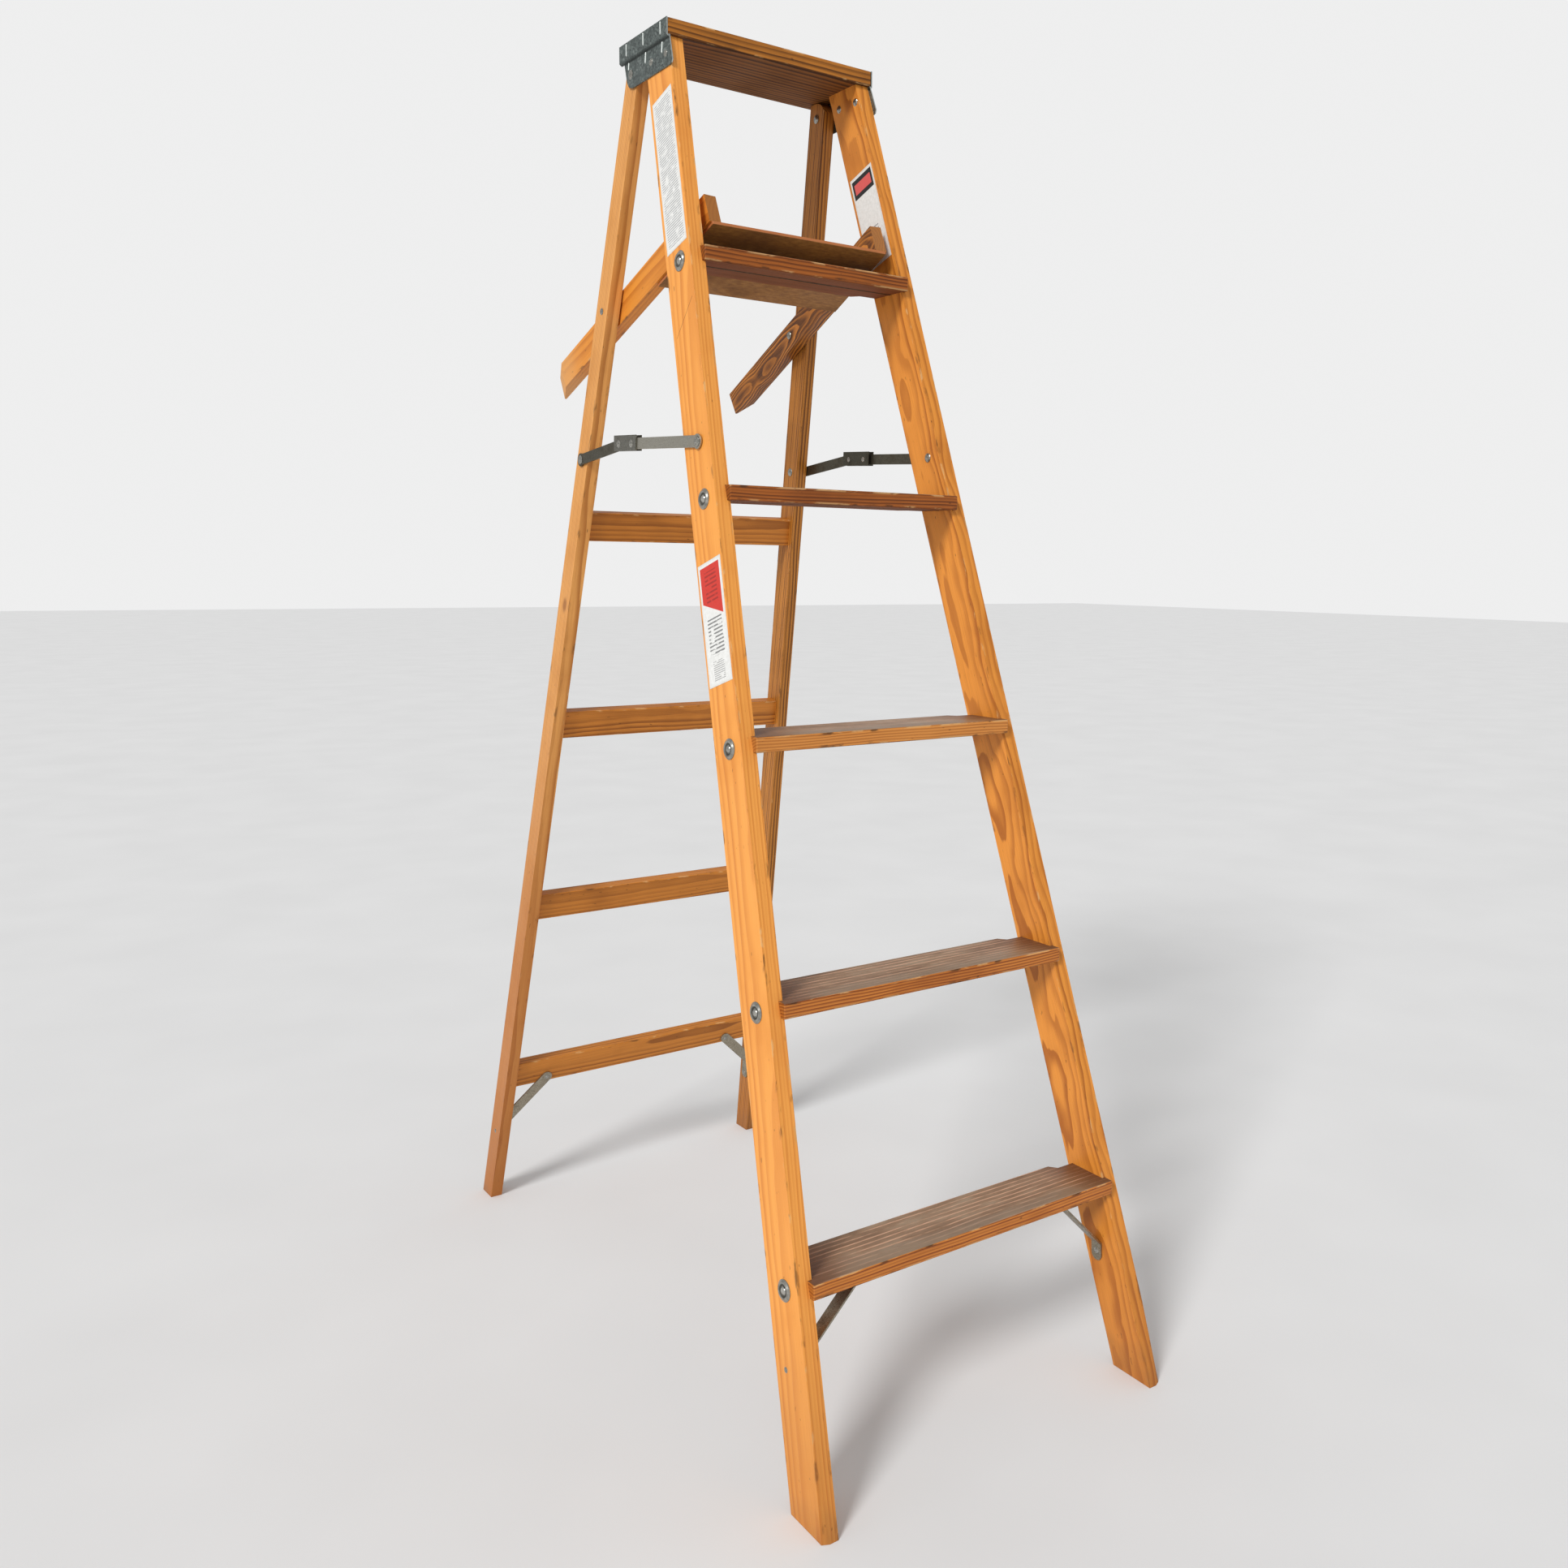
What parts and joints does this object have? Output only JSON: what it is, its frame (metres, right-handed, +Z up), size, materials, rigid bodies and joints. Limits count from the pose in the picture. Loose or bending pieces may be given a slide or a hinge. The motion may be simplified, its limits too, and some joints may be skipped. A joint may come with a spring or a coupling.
{
  "type": "folding stepladder",
  "caption": "Wooden folding stepladder with flat steps in front, a railed rear frame with rungs, hinged steel spreaders and a tilting bucket shelf under the top board.",
  "frame": {"origin": "centre of the footprint, on the floor", "axes": "+Z up; -Y towards the climber's side, where the steps are; +X to the right seen from behind the steps' front; the ladder is symmetric about X = 0"},
  "size_m": [0.524, 1.0292, 1.706],
  "materials": {
    "rail_wood": "varnished, worn at the edges",
    "rear_wood": "varnished, fine straight grain",
    "rung_wood": "worn varnish",
    "step_wood": "dusty bare wood with fine grooves, varnished front edge",
    "top_wood": "worn varnish",
    "arm_wood": "varnished, bare at the tails",
    "panel_board": "dull sheet wood",
    "galvanised_sheet": "galvanised, mottled",
    "spreader_steel": "plated, dulled",
    "brace_steel": "plated, dulled",
    "rivet_steel": "plated, bright on the crowns",
    "label_paper": null
  },
  "bodies": {
    "front_frame": {"top_board": "top_wood", "top_bracket_left": "galvanised_sheet", "top_bracket_right": "galvanised_sheet", "bracket_rivets": "rivet_steel", "fold_rivets": "rivet_steel", "front_rail_left": "rail_wood", "front_rail_right": "rail_wood", "step_1": "step_wood", "step_2": "step_wood", "step_3": "step_wood", "step_4": "step_wood", "step_5": "step_wood", "truss_rod_1": "rivet_steel", "truss_rod_2": "rivet_steel", "truss_rod_3": "rivet_steel", "truss_rod_4": "rivet_steel", "truss_rod_5": "rivet_steel", "rod_washers": "rivet_steel", "step_brace_left": "brace_steel", "step_brace_right": "brace_steel", "step_brace_screws": "rivet_steel", "spreader_front_rivets": "rivet_steel", "label_upper_left": "label_paper", "label_middle_left": "label_paper", "label_inner_right": "label_paper"},
    "rear_frame": {"rear_rail_left": "rear_wood", "rear_rail_right": "rear_wood", "rear_rung_1": "rung_wood", "rear_rung_2": "rung_wood", "rear_rung_3": "rung_wood", "rear_rung_4": "rung_wood", "rear_brace_left": "brace_steel", "rear_brace_right": "brace_steel", "rear_brace_screws": "rivet_steel", "spreader_rear_rivets": "rivet_steel", "shelf_rivets": "rivet_steel"},
    "shelf": {"shelf_arm_left": "arm_wood", "shelf_arm_right": "arm_wood", "shelf_panel": "panel_board"},
    "front_link_left": {"spreader_front_link_left": "spreader_steel", "lock_plate_outer_left": "spreader_steel", "lock_rivets_outer_left": "rivet_steel"},
    "rear_link_left": {"spreader_rear_link_left": "spreader_steel", "lock_plate_inner_left": "spreader_steel", "lock_rivets_inner_left": "rivet_steel"},
    "front_link_right": {"spreader_front_link_right": "spreader_steel", "lock_plate_outer_right": "spreader_steel", "lock_rivets_outer_right": "rivet_steel"},
    "rear_link_right": {"spreader_rear_link_right": "spreader_steel", "lock_plate_inner_right": "spreader_steel", "lock_rivets_inner_right": "rivet_steel"}
  },
  "joints": [
    {"name": "fold", "type": "hinge", "parent": "front_frame", "child": "rear_frame", "pos_m": [0, 0.11232, 1.665], "axis": [-1, 0, 0], "range_deg": [0, 31]},
    {"name": "shelf_tilt", "type": "hinge", "parent": "rear_frame", "child": "shelf", "pos_m": [0, 0.17904, 1.376], "axis": [-1, 0, 0], "range_deg": [0, 53.58]},
    {"name": "front_link_swing_left", "type": "hinge", "parent": "front_frame", "child": "front_link_left", "pos_m": [-0.1865, -0.11838, 1.183], "axis": [1, 0, 0], "range_deg": [0, 51.59]},
    {"name": "rear_link_swing_left", "type": "hinge", "parent": "rear_frame", "child": "rear_link_left", "pos_m": [-0.1845, 0.22429, 1.18], "axis": [-1, 0, 0], "range_deg": [0, 67.79]},
    {"name": "front_link_swing_right", "type": "hinge", "parent": "front_frame", "child": "front_link_right", "pos_m": [0.1865, -0.11838, 1.183], "axis": [1, 0, 0], "range_deg": [0, 51.59]},
    {"name": "rear_link_swing_right", "type": "hinge", "parent": "rear_frame", "child": "rear_link_right", "pos_m": [0.1845, 0.22429, 1.18], "axis": [-1, 0, 0], "range_deg": [0, 67.79]}
  ],
  "couplings": [
    {"joint": "shelf_tilt", "follows": "fold", "ratio": 1.728},
    {"joint": "front_link_swing_left", "follows": "fold", "ratio": 1.664},
    {"joint": "rear_link_swing_left", "follows": "fold", "ratio": 2.1864},
    {"joint": "front_link_swing_right", "follows": "fold", "ratio": 1.664},
    {"joint": "rear_link_swing_right", "follows": "fold", "ratio": 2.1864}
  ]
}
